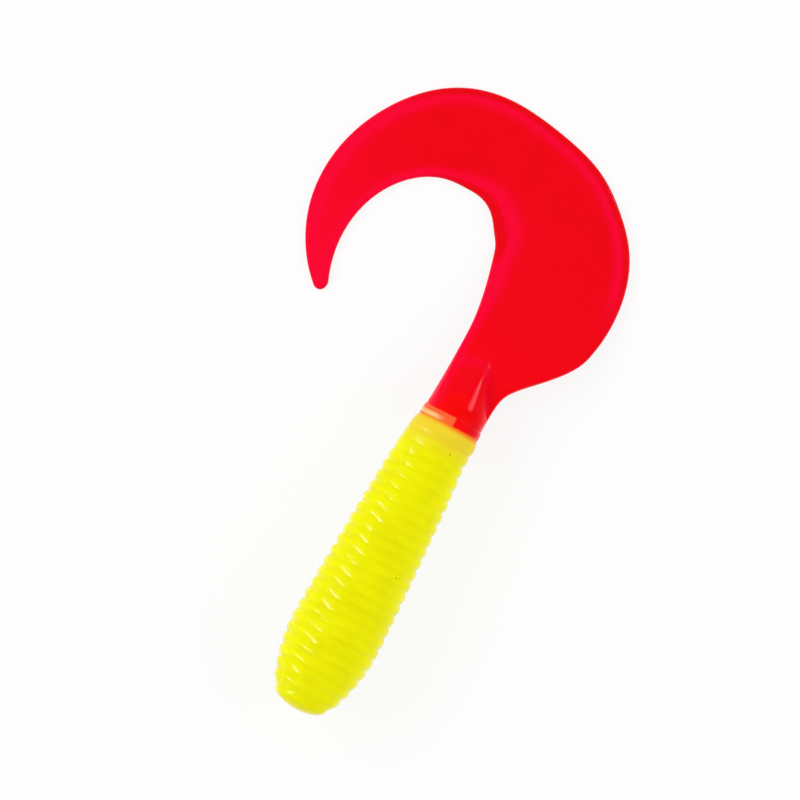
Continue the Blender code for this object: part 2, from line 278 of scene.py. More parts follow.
# %% Plan of the worm
CONE_LENGTH = 8.6
NECK_FLEX = CONE_LENGTH + 1.0
LIE_ANGLE = math.radians(2.8)
joints = {joint["name"]: joint for joint in frame["joints"]}
neck_pivot = Vector(joints["neck_flex"]["pos_m"]) / MM
plan_origin = Vector((neck_pivot.x - NECK_FLEX, neck_pivot.y, 0.0))


def in_world(x, y, z):
    """A point of the plan, in the world's millimetres."""
    return Vector((x, y, z)) + plan_origin


print("seam stands over", [round(c, 3) for c in plan_origin], "mm")

# %% [markdown]
# ## The ribbed body
#
# The body is a spindle with twenty-four rings. It could be turned with a Screw modifier, but a
# poured body isn't true: each ring leans and bulges a little in its own way. So the profile is
# swept by hand, ring by ring, with a small seeded lean and swell that pass smoothly from one
# ring to the next. Towards the tail the rings fade, first on the side that the tail curls to.

# %% Body profile
BODY_LENGTH = 38.5
BODY_RADIUS = 5.6
FATTEST_FROM_SEAM = 28.5
SEAM_RADIUS = 4.075
SEAM_HEIGHT = 4.28
FIRST_RIB_RADIUS = 4.2
REAR_TAPER_POWER = 1.25
NOSE_RADIUS = 3.3
NOSE_ROUND_LENGTH = 1.4
NOSE_LENGTH = 1.9
COLLAR_LENGTH = 1.0
RIB_COUNT = 24
RIB_DEPTH = 0.255
RIB_DEPTH_LEAN = 0.1
RIB_STEPS = 14
NOSE_STEPS = 16
WAIST_FROM_SEAM = 4.0
WAIST_SPREAD = 2.2
WAIST_DEPTH = 0.12
COLLAR_ROWS = (
    (-0.85, 3.96), (-0.7, 3.91), (-0.58, 3.86), (-0.48, 3.8), (-0.4, 3.7), (-0.3, 3.4)
)
RIB_PITCH = (BODY_LENGTH - NOSE_LENGTH - COLLAR_LENGTH) / RIB_COUNT


def crest_radius(x):
    """Radius over the tops of the ribs at x."""
    from_fattest = x + FATTEST_FROM_SEAM
    if from_fattest < 0:
        first_crest = NOSE_LENGTH + RIB_PITCH / 2 - BODY_LENGTH
        share = from_fattest / (first_crest + FATTEST_FROM_SEAM)
        return BODY_RADIUS - (BODY_RADIUS - FIRST_RIB_RADIUS) * share**2
    share = from_fattest / FATTEST_FROM_SEAM
    waist = WAIST_DEPTH * math.exp(-(((x + WAIST_FROM_SEAM) / WAIST_SPREAD) ** 2))
    return BODY_RADIUS - (BODY_RADIUS - SEAM_RADIUS) * share**REAR_TAPER_POWER - waist


def even_turn(step, steps):
    """Shares from 0 to 1 that crowd together at both ends."""
    return (1 - math.cos(math.pi * step / steps)) / 2


def body_profile():
    """Rows of x, radius and share of a groove's depth, from the nose to the seam."""
    rows = []
    for step in range(1, NOSE_STEPS + 1):
        turn = math.pi / 2 * step / NOSE_STEPS
        x = NOSE_ROUND_LENGTH * (1 - math.cos(turn)) - BODY_LENGTH
        rows.append((x, NOSE_RADIUS * math.sin(turn), 0.0))
    for rib in range(RIB_COUNT):
        for step in range(RIB_STEPS):
            phase = even_turn(step, RIB_STEPS)
            x = NOSE_LENGTH - BODY_LENGTH + RIB_PITCH * (rib + phase)
            rows.append((x, crest_radius(x), 1 - math.sin(math.pi * phase)))
    rows.append((-COLLAR_LENGTH, crest_radius(-COLLAR_LENGTH), 1.0))
    return rows + [(x, radius, 0.0) for x, radius in COLLAR_ROWS]


print(f"{len(body_profile())} rings on the body, ribs {RIB_PITCH:.2f} mm apart")

# %% Fading of the grooves
CURL_FLANK_FADE = (-8.0, -3.5)
CURL_FLANK_SHARE = 0.8
FAR_FLANK_FADE = (-3.5, -0.9)
FAR_FLANK_SHARE = 0.4
LAST_RIB_FADE = (-2.5, -0.9)
LAST_RIB_SHARE = 0.4
FLANK_POWER = 3


def groove_depth(x, side):
    """Depth of a full groove: side is 1 where the tail curls to and -1 across from it."""
    near = CURL_FLANK_SHARE * smooth_step(x, *CURL_FLANK_FADE) * max(side, 0.0) ** FLANK_POWER
    far = FAR_FLANK_SHARE * smooth_step(x, *FAR_FLANK_FADE) * max(-side, 0.0) ** FLANK_POWER
    last = LAST_RIB_SHARE * smooth_step(x, *LAST_RIB_FADE)
    return RIB_DEPTH * (1 + RIB_DEPTH_LEAN * side) * (1 - near - far) * (1 - last)


print(f"grooves {groove_depth(-BODY_LENGTH, 0.0):.3f} mm deep on top")

# %% Body mesh
BODY_SIDES = 120
MOULD_RIDGE = 0.04
MOULD_RIDGE_HALF_WIDTH = math.radians(0.9)
RIB_LEAN = 0.07
RIB_SWELL = 0.02
END_SHIFT = 0.34
END_SHIFT_REACH = (-5.0, 0.6)
CALM_REACH = (-3.0, -COLLAR_LENGTH)
draws = random.Random(24)


def wander(size):
    """A smooth seeded wobble along the body, with one draw for each rib."""
    values = [draws.uniform(-size, size) for _ in range(RIB_COUNT + 3)]

    def at(x):
        place = min(max((x + BODY_LENGTH) / RIB_PITCH, 0.0), RIB_COUNT + 1.999)
        step = int(place)
        share = smooth_step(place - step, 0.0, 1.0)
        return values[step] * (1 - share) + values[step + 1] * share

    return at


def body_turns():
    """Angles round the body, with a close trio at each mould ridge."""
    turns = [2 * math.pi * k / BODY_SIDES for k in range(BODY_SIDES)]
    for side in (0.0, math.pi):
        turns += [side - MOULD_RIDGE_HALF_WIDTH, side + MOULD_RIDGE_HALF_WIDTH]
    return sorted(turn % (2 * math.pi) for turn in turns)


def on_body_axis(along, aside, up):
    """A point of the leaning body, from its own axis to the world."""
    x = along * math.cos(LIE_ANGLE) + up * math.sin(LIE_ANGLE)
    z = up * math.cos(LIE_ANGLE) - along * math.sin(LIE_ANGLE)
    return in_world(x, aside, z + SEAM_HEIGHT)


def end_shift(x):
    """The body's thin end was poured a little to the heel's side."""
    return -END_SHIFT * smooth_step(x, *END_SHIFT_REACH)


lean_aside, lean_up, swell = wander(RIB_LEAN), wander(RIB_LEAN), wander(RIB_SWELL)
rings = [[on_body_axis(-BODY_LENGTH, 0.0, 0.0)]]
rests = [Vector((-BODY_LENGTH, 0.0, 0.0))]
for x, radius, dip in body_profile():
    full = radius / BODY_RADIUS
    calm = 1 - smooth_step(x, *CALM_REACH)
    ring = []
    for turn in body_turns():
        side, rise = math.cos(turn), math.sin(turn)
        ridge = MOULD_RIDGE if abs(rise) < 1e-6 else 0.0
        lean = (lean_aside(x) * side + lean_up(x) * rise) * full**2 * calm
        uneven = (swell(x) * math.cos(turn * 2) + ridge) * full * calm
        reach = radius - groove_depth(x, side) * dip + uneven
        point = (max(x + lean, -BODY_LENGTH), reach * side + end_shift(x), reach * rise)
        ring.append(on_body_axis(*point))
        rests.append(Vector((x, point[1], point[2])))
    rings.append(ring)
body_end = COLLAR_ROWS[-1][0]
rings.append([on_body_axis(body_end, end_shift(body_end), 0.0)])
rests.append(Vector((body_end, 0.0, 0.0)))

worm_body = skin("worm_body", rings)
store(worm_body, "rest", rests)
body_size = [round(c / MM, 2) for c in worm_body.dimensions]
print("body", body_size, "mm,", len(worm_body.data.polygons), "faces")

# %% [markdown]
# ## The tail
#
# The tail is one soft blade. It leaves the body as a round root, a cone runs out along it, and
# it swings wide at the heel and curls round to a thin tip. Cutting it from a flat sheet would
# lose the cone and the rounded rims, so it is lofted: rows of rings, each spanning an inner
# and an outer edge point. The edges come from circles, a spiral and a few shallow flat spots.

# %% Edges of the neck and heel
NECK_INNER = 3.42
NECK_OUTER = 3.93
NECK_INNER_FAR = 2.99
FAN_START = NECK_FLEX + 1.0
HEEL_START = 5.9
HEEL_SLOPE = math.tan(math.radians(46.5))
HEEL_FILLET = 1.42
HEEL_ROUND = 1.7
CURL_CENTRE = Vector((19.5, 7.7))
CURL_RADIUS = 19.6


def smooth_min(a, b, blend):
    """The smaller value, rounded off where the two lie within the blend of each other."""
    overlap = max(blend - abs(a - b), 0.0)
    return min(a, b) - overlap * overlap / (4 * blend) if blend > 0 else min(a, b)


def inner_neck(x):
    """How far the neck's edge lies to the side that the tail curls to."""
    return NECK_INNER_FAR + (NECK_INNER - NECK_INNER_FAR) * (1 - x / FAN_START) ** 2


def heel_ramp(x):
    """How far the neck and the slope of the heel lie to the other side."""
    past = x - HEEL_START
    return NECK_OUTER + (past + math.hypot(past, HEEL_FILLET)) / 2 * HEEL_SLOPE


def circle_reach(x):
    """How far the curl's outer circle reaches to the heel's side at x."""
    half_chord = CURL_RADIUS**2 - (x - CURL_CENTRE.x) ** 2
    return math.sqrt(max(half_chord, 0.0)) - CURL_CENTRE.y


def outer_neck(x):
    """The edge over neck and heel, rounded off where it meets the curl's circle."""
    if x < HEEL_START:
        return -heel_ramp(x)
    return -max(NECK_OUTER, smooth_min(heel_ramp(x), circle_reach(x), HEEL_ROUND))


print(f"neck {inner_neck(CONE_LENGTH) - outer_neck(CONE_LENGTH):.1f} mm wide where its cone ends")

# %% Edges of the curl
EYE_RADIUS = 3.22
FULL_WIDTH_ANGLE = -75.6
TIP_ANGLE = 134.0
TIP_WIDTH = 1.5
TIP_INSET = 0.8
TIP_INSET_ANGLE = 40.0
OUTER_FLATS = ((-11.0, 33.0, 2.0), (-49.0, 14.3, 0.42), (56.5, 25.0, 0.31))
INNER_FLATS = ((-25.6, 24.0, 0.38), (31.0, 15.7, 0.32))


def flat_spots(angle, rows):
    """How far the edge's shallow flats draw it in, from rows of angle, spread and depth."""
    return sum(depth * math.exp(-(((angle - at) / spread) ** 2)) for at, spread, depth in rows)


def about_curl(angle, radius):
    """A point of the plan at an angle and a radius about the curl's centre."""
    turn = math.radians(angle)
    return CURL_CENTRE + radius * Vector((math.cos(turn), math.sin(turn)))


def outer_edge(angle):
    """The outer circle with its flats, drawn in a little towards the tip."""
    near_tip = max(angle - TIP_ANGLE + TIP_INSET_ANGLE, 0.0) / TIP_INSET_ANGLE
    radius = CURL_RADIUS - flat_spots(angle, OUTER_FLATS) - TIP_INSET * near_tip**2
    return about_curl(angle, radius)


def inner_edge(angle):
    """The eye's circle, opening into a spiral that narrows the blade towards its tip."""
    share = (TIP_ANGLE - angle) / (TIP_ANGLE - FULL_WIDTH_ANGLE)
    quarter = math.pi / 2 * min(max(share, 0.0), 1.0)
    tip_radius = CURL_RADIUS - TIP_INSET - TIP_WIDTH
    spiral = tip_radius - (tip_radius - EYE_RADIUS) * math.sin(quarter)
    return about_curl(angle, spiral - flat_spots(angle, INNER_FLATS))


eye_width = (outer_edge(0.0) - inner_edge(0.0)).length
print(f"blade {eye_width:.1f} mm wide at the eye")

# %% Edges from the neck to the curl
EYE_JOIN_ANGLE = -75.0
HALVINGS = 40


def heel_end():
    """Where the heel's rounding has run out onto the curl's circle, found by halving."""
    low, high = FAN_START, CURL_CENTRE.x
    for _ in range(HALVINGS):
        middle = (low + high) / 2
        if heel_ramp(middle) - circle_reach(middle) > HEEL_ROUND:
            high = middle
        else:
            low = middle
    return high


HEEL_END = heel_end()


def fan_outer(share):
    """Outer edge from the neck round the heel to where the curl begins."""
    end = Vector((HEEL_END, outer_neck(HEEL_END))) - CURL_CENTRE
    end_angle = math.degrees(math.atan2(end.y, end.x))
    heel_run = HEEL_END - FAN_START
    arc_run = end.length * math.radians(EYE_JOIN_ANGLE - end_angle)
    straight = heel_run / (heel_run + arc_run)
    if share < straight:
        x = FAN_START + heel_run * share / straight
        return Vector((x, outer_neck(x)))
    past = (share - straight) / (1 - straight)
    return outer_edge(end_angle + (EYE_JOIN_ANGLE - end_angle) * past)


def fan_inner(s):
    """Inner edge from the neck to the eye, as a curve tangent to both."""
    start = Vector((FAN_START, inner_neck(FAN_START)))
    end = inner_edge(EYE_JOIN_ANGLE)
    reach = (end - start).length
    turn = math.radians(EYE_JOIN_ANGLE)
    leave = Vector((reach, 0.0))
    arrive = Vector((-math.sin(turn), math.cos(turn))) * reach
    return (
        start * (2 * s**3 - 3 * s**2 + 1)
        + leave * (s**3 - 2 * s**2 + s)
        + end * (3 * s**2 - 2 * s**3)
        + arrive * (s**3 - s**2)
    )


print(f"heel runs out onto the curl {HEEL_END:.1f} mm from the seam")

# %% [markdown]
# Each ring is a section of the blade: round at both rims, nearly flat between them, and near
# the root the circle of the barrel and its cone standing out of the middle. The tail's middle
# line runs on straight from the body and then sinks to the table, because the blade is too soft
# to hold itself up. Every point also remembers how it lies to the rim, for the red to use.

# %% Droop and cone
BLADE_THICKNESS = 1.2
ROOT_RADIUS = (NECK_INNER + NECK_OUTER) / 2
CONE_START = 2.1
CONE_START_ROUND = 0.35
CONE_LEAN = math.tan(math.radians(3.6))
DROOP_START = 4.0
DROOP_LENGTH = 20.0


def droop(x):
    """Height and slope of the tail's middle: in line with the body, then sinking to the table."""
    lie_slope = -math.tan(LIE_ANGLE)
    if x < DROOP_START:
        return SEAM_HEIGHT + lie_slope * x, lie_slope
    run = min((x - DROOP_START) / DROOP_LENGTH, 1.0)
    slope = lie_slope * DROOP_LENGTH
    high = SEAM_HEIGHT + lie_slope * DROOP_START
    fall = BLADE_THICKNESS / 2 - high
    height = high + fall * (3 * run**2 - 2 * run**3) + slope * (run**3 - 2 * run**2 + run)
    rate = fall * (6 * run - 6 * run**2) + slope * (3 * run**2 - 4 * run + 1)
    return height, rate / DROOP_LENGTH


def cone_at(x):
    """Distance of the cone's axis from the inner edge, and the cone's radius, at x."""
    axis = (NECK_INNER - NECK_OUTER) / 2 - x * CONE_LEAN
    past = x - CONE_START
    run = (past + math.hypot(past, CONE_START_ROUND)) / 2 / (CONE_LENGTH - CONE_START)
    radius = ROOT_RADIUS - (ROOT_RADIUS - BLADE_THICKNESS / 2) * run
    from_inner = inner_neck(x) - axis
    from_outer = axis - outer_neck(x)
    return from_inner, max(min(radius, from_inner, from_outer), 0.0)


print(f"tail sinks from {droop(0.0)[0]:.2f} to {droop(DROOP_START + DROOP_LENGTH)[0]:.2f} mm")

# %% Sections of the tail
RIM_WIDTH = 0.35
CONE_FILLET = 0.35
CONE_INNER_FILLET = 1.3
FILLET_LOW, FILLET_HIGH = -0.2, 0.9
FULL_FILLET_RADIUS = BLADE_THICKNESS * 1.5
LEAST_REACH = 0.01
SECTION_STEPS = 60


def cone_fillet(from_inner, cone):
    """Rounding between cone and blade: wide on the inner side, and gone where the cone is."""
    place, radius = cone
    inner_side = smooth_step(
        place - from_inner, FILLET_LOW * radius, FILLET_HIGH * radius + LEAST_REACH
    )
    stands_out = smooth_step(radius, BLADE_THICKNESS / 2, FULL_FILLET_RADIUS)
    return CONE_FILLET + (CONE_INNER_FILLET - CONE_FILLET) * inner_side * stands_out


def half_height(from_inner, width, thickness, cone):
    """Half the height of a section, and how far the cone lifts it over the blade."""
    rim = min(RIM_WIDTH, width / 2)
    inside = min(max(min(from_inner, width - from_inner), 0.0) / rim, 1.0)
    blade = thickness / 2 * math.sqrt(1 - (1 - inside) ** 2)
    if cone is None:
        return blade, 0.0
    reach = cone[0] if from_inner < cone[0] else max(cone[1], LEAST_REACH)
    rise = cone[1] * math.sqrt(max(1 - ((from_inner - cone[0]) / reach) ** 2, 0.0))
    half = -smooth_min(-blade, -rise, cone_fillet(from_inner, cone) * inside)
    return half, half - blade


def tail_ring(inner, outer, thickness, bands, cone=None, drooping=True):
    """Points of one section, each with its places in both rims' bands and its rise as marks."""
    width = (outer - inner).length
    upper, lower = [], []
    for step in range(SECTION_STEPS + 1):
        from_inner = width * even_turn(step, SECTION_STEPS)
        plan = inner.lerp(outer, from_inner / width)
        height, slope = droop(plan.x) if drooping else (BLADE_THICKNESS / 2, 0.0)
        middle = Vector((plan.x, plan.y, height - (BLADE_THICKNESS - thickness) / 2))
        normal = Vector((-slope, 0.0, 1.0)).normalized()
        half, rise = half_height(from_inner, width, thickness, cone)
        marks = Vector((from_inner / bands[0], (width - from_inner) / bands[1], rise))
        upper.append((middle + normal * half, marks))
        lower.append((middle - normal * half, marks))
    return upper + lower[-2:0:-1]


print(f"{2 * SECTION_STEPS} points round a section")

# %% [markdown]
# Where the red was poured onto the yellow, a low ring stayed behind: the red lapped over the
# yellow's end and set there. It is a swelling of the root's first rings, ending in a soft step.

# %% Rings of the tail
TIP_THICKNESS = 0.9
OUTER_BAND = 1.15
NECK_BAND = 0.65
EYE_BAND = 1.6
EYE_BAND_ANGLE = -30.0
EYE_BAND_SPREAD = 55.0
RING_START = -0.6
RING_END = 0.82
RING_SLANT = 0.05
RING_PROUD = 0.12
RING_STEP = 0.14
RING_LAP = 0.2
RING_LAP_DEPTH = 0.4
RING_WAVE = 0.025
RING_WAVE_RATE = 5.0
LANDED_ANGLE = 30.0


def inner_band(angle):
    """Distance of the pink band from the inner edge: widest round the eye."""
    return NECK_BAND + EYE_BAND * math.exp(-(((angle - EYE_BAND_ANGLE) / EYE_BAND_SPREAD) ** 2))


def ring_swell(x, y):
    """How far the ring at the seam stands out of the root, from its lap to its step."""
    edge = RING_END + RING_SLANT * y + RING_WAVE * math.sin(RING_WAVE_RATE * y + 1.0)
    lap = smooth_step(x, RING_START, RING_START + RING_LAP)
    step = smooth_step(x, edge, edge - RING_STEP)
    return RING_PROUD * step - RING_LAP_DEPTH * (1 - lap)


def neck_ring(x):
    """A section of the neck at x, with the ring at the seam raised on it."""
    inner = Vector((x, inner_neck(x)))
    outer = Vector((x, outer_neck(x)))
    cone = cone_at(x)
    bands = (NECK_BAND, OUTER_BAND)
    axis = Vector((x, inner.y - cone[0], droop(x)[0]))
    ring = []
    for point, marks in tail_ring(inner, outer, BLADE_THICKNESS, bands, cone):
        off = point - axis
        off.x = 0.0
        ring.append((point + off.normalized() * ring_swell(x, point.y), marks))
    return ring


def fan_ring(share):
    """A section between the neck and the curl."""
    width = NECK_BAND + (inner_band(EYE_JOIN_ANGLE) - NECK_BAND) * smooth_step(share, 0.0, 1.0)
    return tail_ring(fan_inner(share), fan_outer(share), BLADE_THICKNESS, (width, OUTER_BAND))


def curl_ring(angle):
    """A section of the curl, thinning towards the tip."""
    share = (angle - EYE_JOIN_ANGLE) / (TIP_ANGLE - EYE_JOIN_ANGLE)
    thickness = BLADE_THICKNESS + (TIP_THICKNESS - BLADE_THICKNESS) * share
    bands = (inner_band(angle), OUTER_BAND)
    inner, outer = inner_edge(angle), outer_edge(angle)
    return tail_ring(inner, outer, thickness, bands, drooping=angle < LANDED_ANGLE)


root = [point for point, _ in neck_ring(0.0)]
print(f"root {max(p.y for p in root) - min(p.y for p in root):.2f} mm across at the seam")

# %% [markdown]
# The tail bends at three places, and a piece can bend across one joint at a time. The tail
# bends at three places, so the one loft is parted in three, through the stiff stretches
# between the bends. Both sides of a cut share the same ring of points, so the cuts are shut,
# and the eye sees one tail.

# %% Tail pieces
SEAM_STATIONS = 30
SEAM_STATIONS_END = 1.3
NECK_STATIONS = 60
FAN_STATIONS = 44
CURL_STATION_ANGLE = 1.5
TIP_ROUND_STATIONS = 10
TIP_ROUND_LENGTH = 0.75


def spread(start, end, count):
    """Even steps from start to end, with both ends."""
    return [start + (end - start) * step / count for step in range(count + 1)]


def curl_rings(start, end):
    """Sections of the curl between two angles."""
    count = round((end - start) / CURL_STATION_ANGLE)
    return [curl_ring(angle) for angle in spread(start, end, count)]


def neck_rings():
    """From inside the body's end to where the curl begins."""
    places = spread(RING_START, SEAM_STATIONS_END, SEAM_STATIONS)
    places += spread(SEAM_STATIONS_END, FAN_START, NECK_STATIONS)[1:-1]
    rings = [neck_ring(x) for x in places]
    return rings + [fan_ring(share) for share in spread(0.0, 1.0, FAN_STATIONS)]


def tip_rings():
    """The last of the curl, its end drawn in to a round point."""
    round_angle = math.degrees(TIP_ROUND_LENGTH / (CURL_RADIUS - TIP_INSET))
    round_start = TIP_ANGLE - round_angle
    rings = curl_rings(LANDED_ANGLE, round_start)
    for step in range(1, TIP_ROUND_STATIONS):
        turn = math.pi / 2 * step / TIP_ROUND_STATIONS
        ring = curl_ring(round_start + round_angle * math.sin(turn))
        middle = sum((point for point, _ in ring), Vector()) / len(ring)
        rings.append([(middle.lerp(point, math.cos(turn)), marks) for point, marks in ring])
    return rings


def tail_piece(name, rings):
    """One part of the tail, with its plan and its marks stored for the red."""
    piece = skin(name, [[in_world(*point) for point, _ in ring] for ring in rings])
    rows = [row for ring in rings for row in ring]
    store(piece, "rest", [point for point, _ in rows])
    store(piece, "marks", [marks for _, marks in rows])
    size = [round(c / MM, 2) for c in piece.dimensions]
    print(name, size, "mm,", len(piece.data.polygons), "faces")
    return piece


tail_neck = tail_piece("tail_neck", neck_rings())
tail_blade = tail_piece("tail_blade", curl_rings(EYE_JOIN_ANGLE, LANDED_ANGLE))
tail_point = tail_piece("tail_point", tip_rings())

# %% [markdown]
# ## The yellow
#
# The body's plastisol is milky: light sinks in, wanders a little and comes out again, which
# softens the grooves between the ribs. Subsurface scattering does just that. A slow noise
# shifts the yellow a little, and close to the seam some red has bled into it. The skin is
# smooth, with a fine grain left by the mould, and a few dark specks were caught in the pour.
# The helpers that the red will share come first.

# %% Helpers for the plastisols
NOISE_DETAIL = 3.0
MOTTLE_RANGE = (0.35, 0.7)
SKIN_RANGE = (0.3, 0.7)


def ramp(tree, value, low, high, to_low=0.0, to_high=1.0):
    """A value carried smoothly from one range to another."""
    inputs = {"Value": value, "From Min": low, "From Max": high}
    inputs.update({"To Min": to_low, "To Max": to_high})
    node = add_node(tree, "ShaderNodeMapRange", inputs, interpolation_type="SMOOTHSTEP")
    return node.outputs["Result"]


def times(tree, first, second):
    """The product of two factors."""
    node = add_node(tree, "ShaderNodeMath", {0: first, 1: second}, operation="MULTIPLY")
    return node.outputs[0]


def tint(tree, factor, under, over):
    """One colour laid over another by a factor; 6, 7 and 2 are the Mix node's colour sockets."""
    node = add_node(tree, "ShaderNodeMix", {0: factor, 6: under, 7: over}, data_type="RGBA")
    return node.outputs[2]


def stored(tree, name):
    """A vector stored on the mesh, whole and as its three parts."""
    whole = add_node(tree, "ShaderNodeAttribute", attribute_name=name).outputs["Vector"]
    return whole, add_node(tree, "ShaderNodeSeparateXYZ", {0: whole}).outputs


def mottle(tree, place, scale):
    """Cloudy noise, with so many clouds to a millimetre as the scale says."""
    inputs = {"Vector": place, "Scale": scale, "Detail": NOISE_DETAIL}
    return add_node(tree, "ShaderNodeTexNoise", inputs).outputs["Fac"]


def plastisol(name, ior, gloss):
    """A new material with its tree and its shader, whose reflections are tinted by the gloss."""
    material = bpy.data.materials.new(name)
    material.use_nodes = True
    tree = material.node_tree
    shader = tree.nodes["Principled BSDF"]
    shader.inputs["IOR"].default_value = ior
    shader.inputs["Specular Tint"].default_value = gloss
    return material, tree, shader


def grain(tree, shader, place, ripple_scale, ripple, grain_scale, fine):
    """A slow ripple and a fine grain, as two bumps one on the other, in millimetres."""
    inputs = {"Height": mottle(tree, place, ripple_scale), "Distance": ripple * MM}
    slow = add_node(tree, "ShaderNodeBump", inputs).outputs[0]
    inputs = {"Height": mottle(tree, place, grain_scale), "Distance": fine * MM, "Normal": slow}
    tree.links.new(add_node(tree, "ShaderNodeBump", inputs).outputs[0], shader.inputs["Normal"])


print("noise between", MOTTLE_RANGE, "shifts the colours")

# %% Yellow plastisol
YELLOW = (0.85, 0.83, 0.0005, 1.0)
YELLOW_DEEP = (0.82, 0.79, 0.0005, 1.0)
YELLOW_CLOUDS = 0.35
SEAM_BLEED = (0.9, 0.66, 0.03, 1.0)
BLEED_REACH = (-4.8, -1.2)
SEAM_ORANGE = (0.99, 0.22, 0.012, 1.0)
ORANGE_REACH = (-1.05, -0.5)
ORANGE_ACROSS = (3.5, -2.5)
SPECK = (0.25, 0.17, 0.005, 1.0)
SPECKS = ((-19.34, -3.22), (-19.17, -3.67), (-3.4, -1.96))
SPECK_RADIUS = 0.09
SPECK_STRENGTH = 0.5
YELLOW_GLOSS = (1.0, 1.0, 0.85, 1.0)
YELLOW_IOR = 1.15
YELLOW_ROUGHNESS = (0.05, 0.09)
YELLOW_GRAIN = (1.2, 0.004, 9.0, 0.001)
MILKY_REACH = (-0.8, -4.5)
MILK_RADIUS = (1.0, 0.9, 0.2)
MILK_DEPTH = 4.0 * MM


def yellow_plastisol():
    """Milky yellow, with a bleed of red and an orange edge towards the seam."""
    material, tree, shader = plastisol("yellow_plastisol", YELLOW_IOR, YELLOW_GLOSS)
    place, (along, aside, _) = stored(tree, "rest")
    clouds = ramp(tree, mottle(tree, place, YELLOW_CLOUDS), *MOTTLE_RANGE)
    colour = tint(tree, clouds, YELLOW, YELLOW_DEEP)
    colour = tint(tree, ramp(tree, along, *BLEED_REACH), colour, SEAM_BLEED)
    across = ramp(tree, aside, *ORANGE_ACROSS, 0.5, 1.0)
    orange = times(tree, ramp(tree, along, *ORANGE_REACH), across)
    colour = tint(tree, orange, colour, SEAM_ORANGE)
    for x, y in SPECKS:
        spot = (x, y, math.sqrt(crest_radius(x) ** 2 - y**2))
        off = add_node(tree, "ShaderNodeVectorMath", {0: place, 1: spot}, operation="DISTANCE")
        near = ramp(tree, off.outputs["Value"], SPECK_RADIUS * 2, SPECK_RADIUS, 0.0, SPECK_STRENGTH)
        colour = tint(tree, near, colour, SPECK)
    tree.links.new(colour, shader.inputs["Base Color"])
    roughness = ramp(tree, mottle(tree, place, 3.0), *SKIN_RANGE, *YELLOW_ROUGHNESS)
    tree.links.new(roughness, shader.inputs["Roughness"])
    tree.links.new(ramp(tree, along, *MILKY_REACH), shader.inputs["Subsurface Weight"])
    shader.inputs["Subsurface Radius"].default_value = MILK_RADIUS
    shader.inputs["Subsurface Scale"].default_value = MILK_DEPTH
    grain(tree, shader, place, *YELLOW_GRAIN)
    return material


worm_body.data.materials.append(yellow_plastisol())
print("yellow on", worm_body.name)

# %% [markdown]
# ## The red
#
# The tail's red is clearer. In the thick root it is pure; along the rims the light that comes in
# through the thin edge is painted in as pink, behind a border painted darker as shade. The heel
# is painted darker as shade, and the tip lighter as light through the thin blade. The stored
# place in the rim's band drives the rims' painting, so it follows the curl to the tip. On the
# ring at the seam the red is only a film on one side: yellow shines through it as orange, and a
# cream lip is left below, streaked with painted highlight lines.

# %% Reds along the blade
# The heel is painted darker, as shade, and the thin tip lighter, as painted light shining through
# it.
HEEL_PAINTED_SHADE = (0.885, 0.0004, 0.005, 1.0)
HEEL_TURNS = (-80.0, -120.0)
TIP_PAINTED_GLOW = (0.96, 0.0006, 0.0225, 1.0)
TIP_TURNS = (50.0, 130.0)
# Painted light: the pink band along both rims stands for light let in through the thin edge.
PAINTED_PINK_LIGHT = (0.96, 0.0006, 0.031, 1.0)
PINK_BAND = (2.1, 1.05)
# Painted shade: the darker border just inside each rim.
RIM_PAINTED_SHADE = (0.84, 0.0006, 0.0055, 1.0)
DARK_BAND = (0.95, 0.5)
PAST_HEEL_TURNS = (-98.0, -72.0)
BEFORE_TIP_TURNS = (65.0, 30.0)
CONE_FOOT_LOW = (0.0, 0.2, 0.0, 0.5)
CONE_FOOT_HIGH = (1.1, 0.4)
ROOT_RED = (0.96, 0.001, 0.001, 1.0)
ROOT_RISE = (1.9, 2.6)


def round_curl(tree, along, aside):
    """The angle of a place about the curl's centre, which grows from the neck to the tip."""
    offs = []
    for value, centre in ((along, CURL_CENTRE.x), (aside, CURL_CENTRE.y)):
        off = add_node(tree, "ShaderNodeMath", {0: value, 1: centre}, operation="SUBTRACT")
        offs.append(off.outputs[0])
    right, up = offs
    turn = add_node(tree, "ShaderNodeMath", {0: up, 1: right}, operation="ARCTAN2").outputs[0]
    return add_node(tree, "ShaderNodeMath", {0: turn}, operation="DEGREES").outputs[0]


def rim_colours(tree, colour, along, aside, inner, outer, rise):
    """The blade's red from heel to tip, painted darker at the heel and lighter at the tip, and the
    painted light and shade of the bands that follow its two rims.
    """
    turn = round_curl(tree, along, aside)
    colour = tint(tree, ramp(tree, turn, *HEEL_TURNS), colour, HEEL_PAINTED_SHADE)
    colour = tint(tree, ramp(tree, turn, *TIP_TURNS), colour, TIP_PAINTED_GLOW)
    past_heel = ramp(tree, turn, *PAST_HEEL_TURNS)
    # Painted light along both rims, then painted shade at their borders.
    outer_painted_light = times(tree, past_heel, ramp(tree, outer, *PINK_BAND))
    colour = tint(tree, outer_painted_light, colour, PAINTED_PINK_LIGHT)
    colour = tint(tree, ramp(tree, inner, *PINK_BAND), colour, PAINTED_PINK_LIGHT)
    before_tip = times(tree, past_heel, ramp(tree, turn, *BEFORE_TIP_TURNS))
    for rim in (outer, inner):
        border = times(tree, before_tip, ramp(tree, rim, *DARK_BAND))
        colour = tint(tree, border, colour, RIM_PAINTED_SHADE)
    # Painted light: the hollow where the cone meets the blade is painted pink over its shade.
    painted_foot_light = times(tree, ramp(tree, rise, *CONE_FOOT_LOW), ramp(tree, rise, *CONE_FOOT_HIGH))
    colour = tint(tree, painted_foot_light, colour, PAINTED_PINK_LIGHT)
    return tint(tree, ramp(tree, rise, *ROOT_RISE), colour, ROOT_RED)


